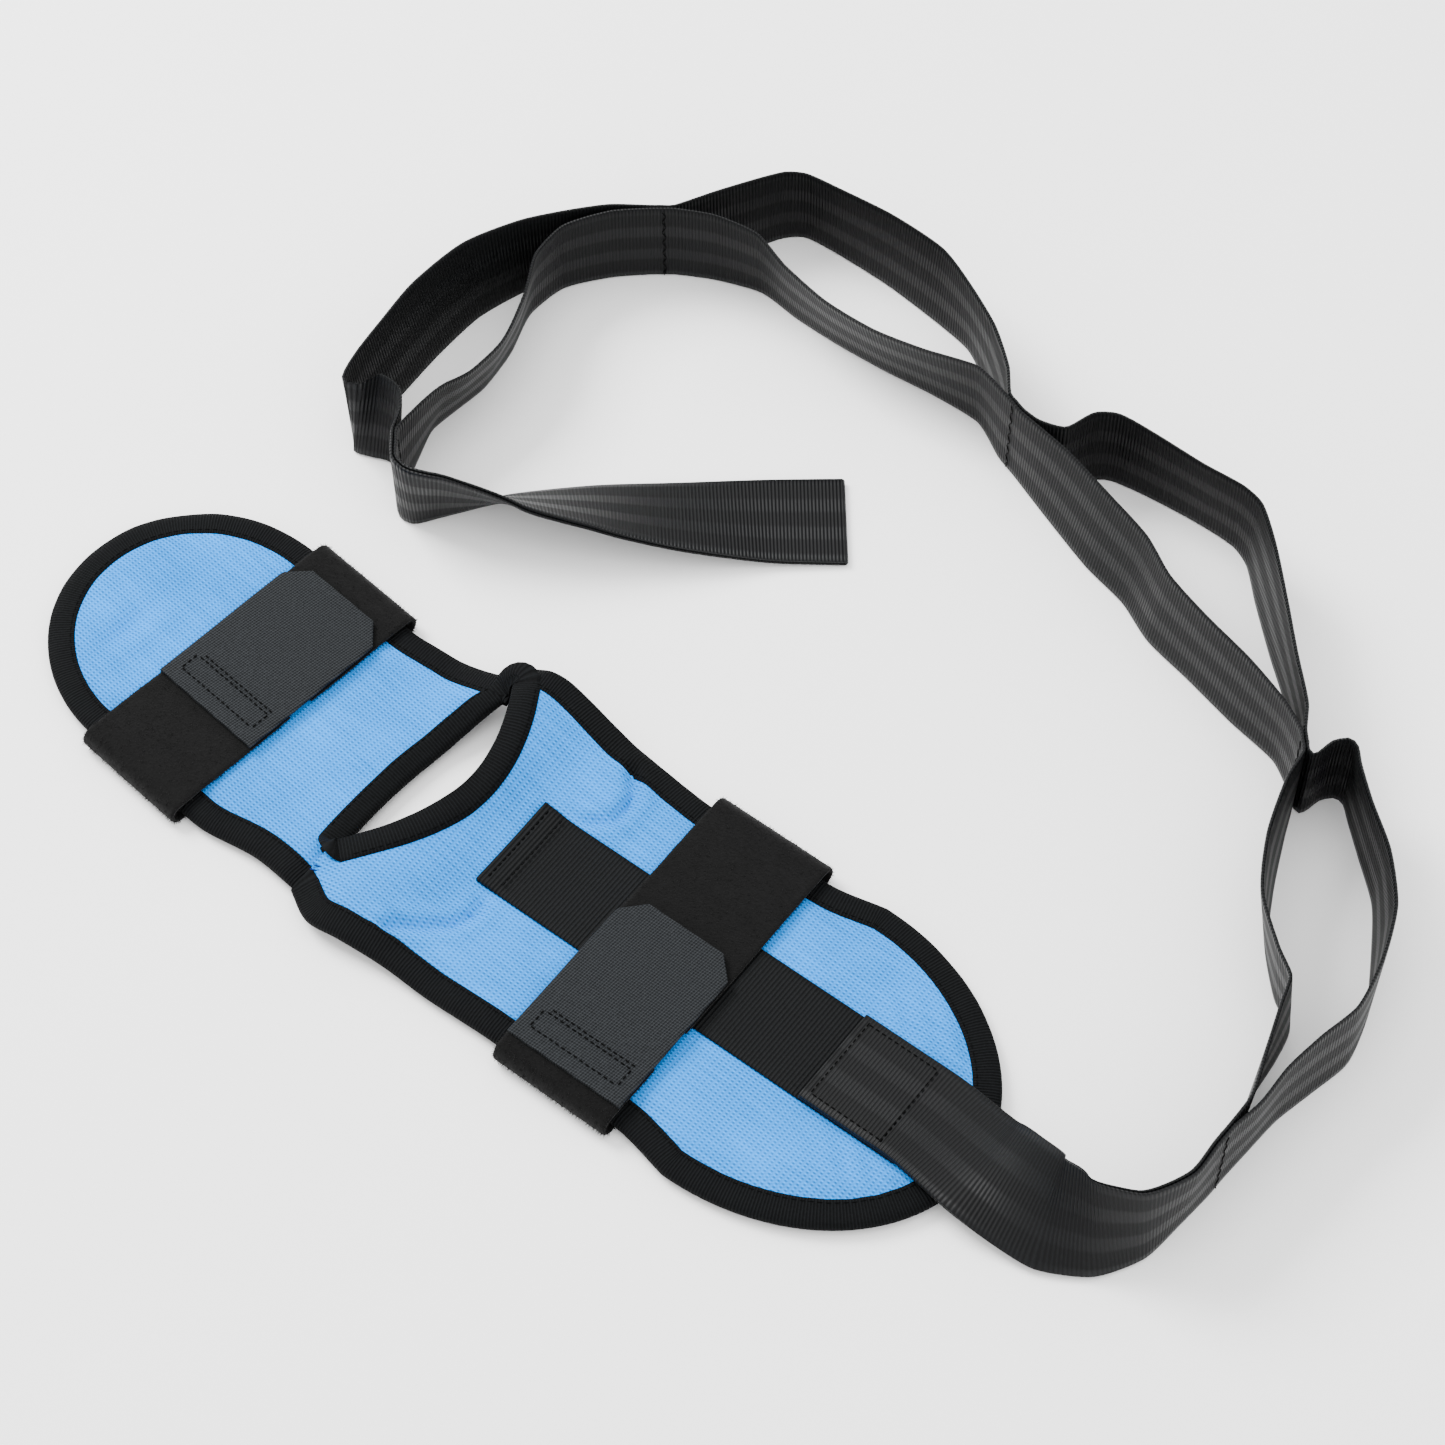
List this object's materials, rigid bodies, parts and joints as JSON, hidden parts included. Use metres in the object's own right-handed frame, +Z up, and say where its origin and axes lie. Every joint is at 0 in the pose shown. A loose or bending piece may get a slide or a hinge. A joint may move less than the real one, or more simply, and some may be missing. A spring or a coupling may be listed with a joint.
{
  "type": "foot and ankle stretching strap",
  "caption": "Padded foot sling with an ankle lobe and a sole lobe, hook-and-loop wrap straps and a long doubled webbing pull strap stitched into hand loops.",
  "frame": {"origin": "middle of the sole strap's underside, the face the sling rests on", "axes": "+Z up from the floor, +X to the right and +Y away from the viewer with the sling laid flat and the ankle lobe at the left"},
  "size_m": [0.4902, 0.4636, 0.0401],
  "materials": {
    "blue_woven_face": "bright sky-blue woven cover fabric, matte",
    "foam": "closed-cell foam padding inside the cover",
    "lining": "black knitted lining under the pads",
    "edge_binding": "black folded binding tape, matte with a short pile",
    "loop_tape": "black napped loop tape",
    "hook_tape": "dark grey moulded hook tape",
    "webbing": "charcoal polyester webbing with fine cross ribs",
    "thread": "black bonded sewing thread"
  },
  "bodies": {
    "sole_pad": {"sole_pad_lining": "lining", "sole_pad_foam": "foam", "sole_pad_face": "blue_woven_face", "sole_pad_binding": "edge_binding", "sole_opening_rim": "edge_binding", "sole_strap_back": "loop_tape", "sole_webbing": "webbing", "sole_webbing_stitching": "thread", "lead_upper_layer": "webbing", "lead_lower_layer": "webbing", "lead_stitching": "thread", "side_seam_stitching": "thread", "tack_1_stitching": "thread"},
    "ankle_pad": {"ankle_pad_lining": "lining", "ankle_pad_foam": "foam", "ankle_pad_face": "blue_woven_face", "ankle_pad_binding": "edge_binding", "ankle_opening_rim": "edge_binding", "ankle_strap_back": "loop_tape"},
    "sole_near_flap": {"sole_strap_near_flap": "loop_tape", "sole_hook_tab_sewn_end": "hook_tape", "sole_hook_stitching": "thread"},
    "sole_tab": {"sole_hook_tab": "hook_tape"},
    "sole_far_flap": {"sole_strap_far_flap": "loop_tape"},
    "ankle_near_flap": {"ankle_strap_near_flap": "loop_tape", "ankle_hook_tab_sewn_end": "hook_tape", "ankle_hook_stitching": "thread"},
    "ankle_tab": {"ankle_hook_tab": "hook_tape"},
    "ankle_far_flap": {"ankle_strap_far_flap": "loop_tape"},
    "loop_1": {"loop_1_inner_leg": "webbing", "loop_1_outer_leg": "webbing", "tack_2_stitching": "thread"},
    "loop_2": {"loop_2_inner_leg": "webbing", "loop_2_outer_leg": "webbing", "tack_3_stitching": "thread"},
    "loop_3": {"loop_3_inner_leg": "webbing", "loop_3_outer_leg": "webbing", "tack_4_stitching": "thread"},
    "loop_4": {"loop_4_inner_leg": "webbing", "loop_4_outer_leg": "webbing", "tack_5_stitching": "thread"},
    "end_loop": {"end_loop_upper_layer": "webbing", "end_loop_lower_layer": "webbing", "end_loop_fold": "webbing"}
  },
  "joints": [
    {"name": "ankle_fold", "type": "hinge", "parent": "sole_pad", "child": "ankle_pad", "pos_m": [-0.09989, 0.06682, 0.0072], "axis": [0.6947, 0.7193, 0], "range_deg": [0, 60]},
    {"name": "sole_near_flap_lift", "type": "hinge", "parent": "sole_pad", "child": "sole_near_flap", "pos_m": [-0.03774, -0.04919, 0.0098], "axis": [0.7934, -0.6088, 0], "range_deg": [0, 120]},
    {"name": "sole_far_flap_lift", "type": "hinge", "parent": "sole_pad", "child": "sole_far_flap", "pos_m": [0.03774, 0.04919, 0.0098], "axis": [0.7934, -0.6088, 0], "range_deg": [-48, 0]},
    {"name": "sole_tab_peel", "type": "hinge", "parent": "sole_near_flap", "child": "sole_tab", "pos_m": [-0.02313, -0.03015, 0.0117], "axis": [0.7934, -0.6088, 0], "range_deg": [0, 80]},
    {"name": "ankle_near_flap_lift", "type": "hinge", "parent": "ankle_pad", "child": "ankle_near_flap", "pos_m": [-0.1956, 0.08, 0.0091], "axis": [0.7193, -0.6947, 0], "range_deg": [0, 120]},
    {"name": "ankle_far_flap_lift", "type": "hinge", "parent": "ankle_pad", "child": "ankle_far_flap", "pos_m": [-0.1164, 0.162, 0.0091], "axis": [0.7193, -0.6947, 0], "range_deg": [-48, 0]},
    {"name": "ankle_tab_peel", "type": "hinge", "parent": "ankle_near_flap", "child": "ankle_tab", "pos_m": [-0.15774, 0.1192, 0.011], "axis": [0.7193, -0.6947, 0], "range_deg": [0, 80]},
    {"name": "tack_1_fold", "type": "hinge", "parent": "sole_pad", "child": "loop_1", "pos_m": [0.189, -0.0855, 0], "axis": [0, 0, 1], "range_deg": [-25, 0]},
    {"name": "tack_2_fold", "type": "hinge", "parent": "loop_1", "child": "loop_2", "pos_m": [0.2295, 0.072, 0], "axis": [0, 0, 1], "range_deg": [-25, 0]},
    {"name": "tack_3_fold", "type": "hinge", "parent": "loop_2", "child": "loop_3", "pos_m": [0.132, 0.2255, 0], "axis": [0, 0, 1], "range_deg": [-25, 5]},
    {"name": "tack_4_fold", "type": "hinge", "parent": "loop_3", "child": "loop_4", "pos_m": [-0.0035, 0.3235, 0], "axis": [0, 0, 1], "range_deg": [-25, 5]},
    {"name": "tack_5_fold", "type": "hinge", "parent": "loop_4", "child": "end_loop", "pos_m": [-0.1045, 0.2085, 0], "axis": [0, 0, 1], "range_deg": [-25, 6]}
  ],
  "couplings": [
    {"joint": "sole_far_flap_lift", "follows": "sole_near_flap_lift", "ratio": -0.4},
    {"joint": "ankle_far_flap_lift", "follows": "ankle_near_flap_lift", "ratio": -0.4}
  ]
}
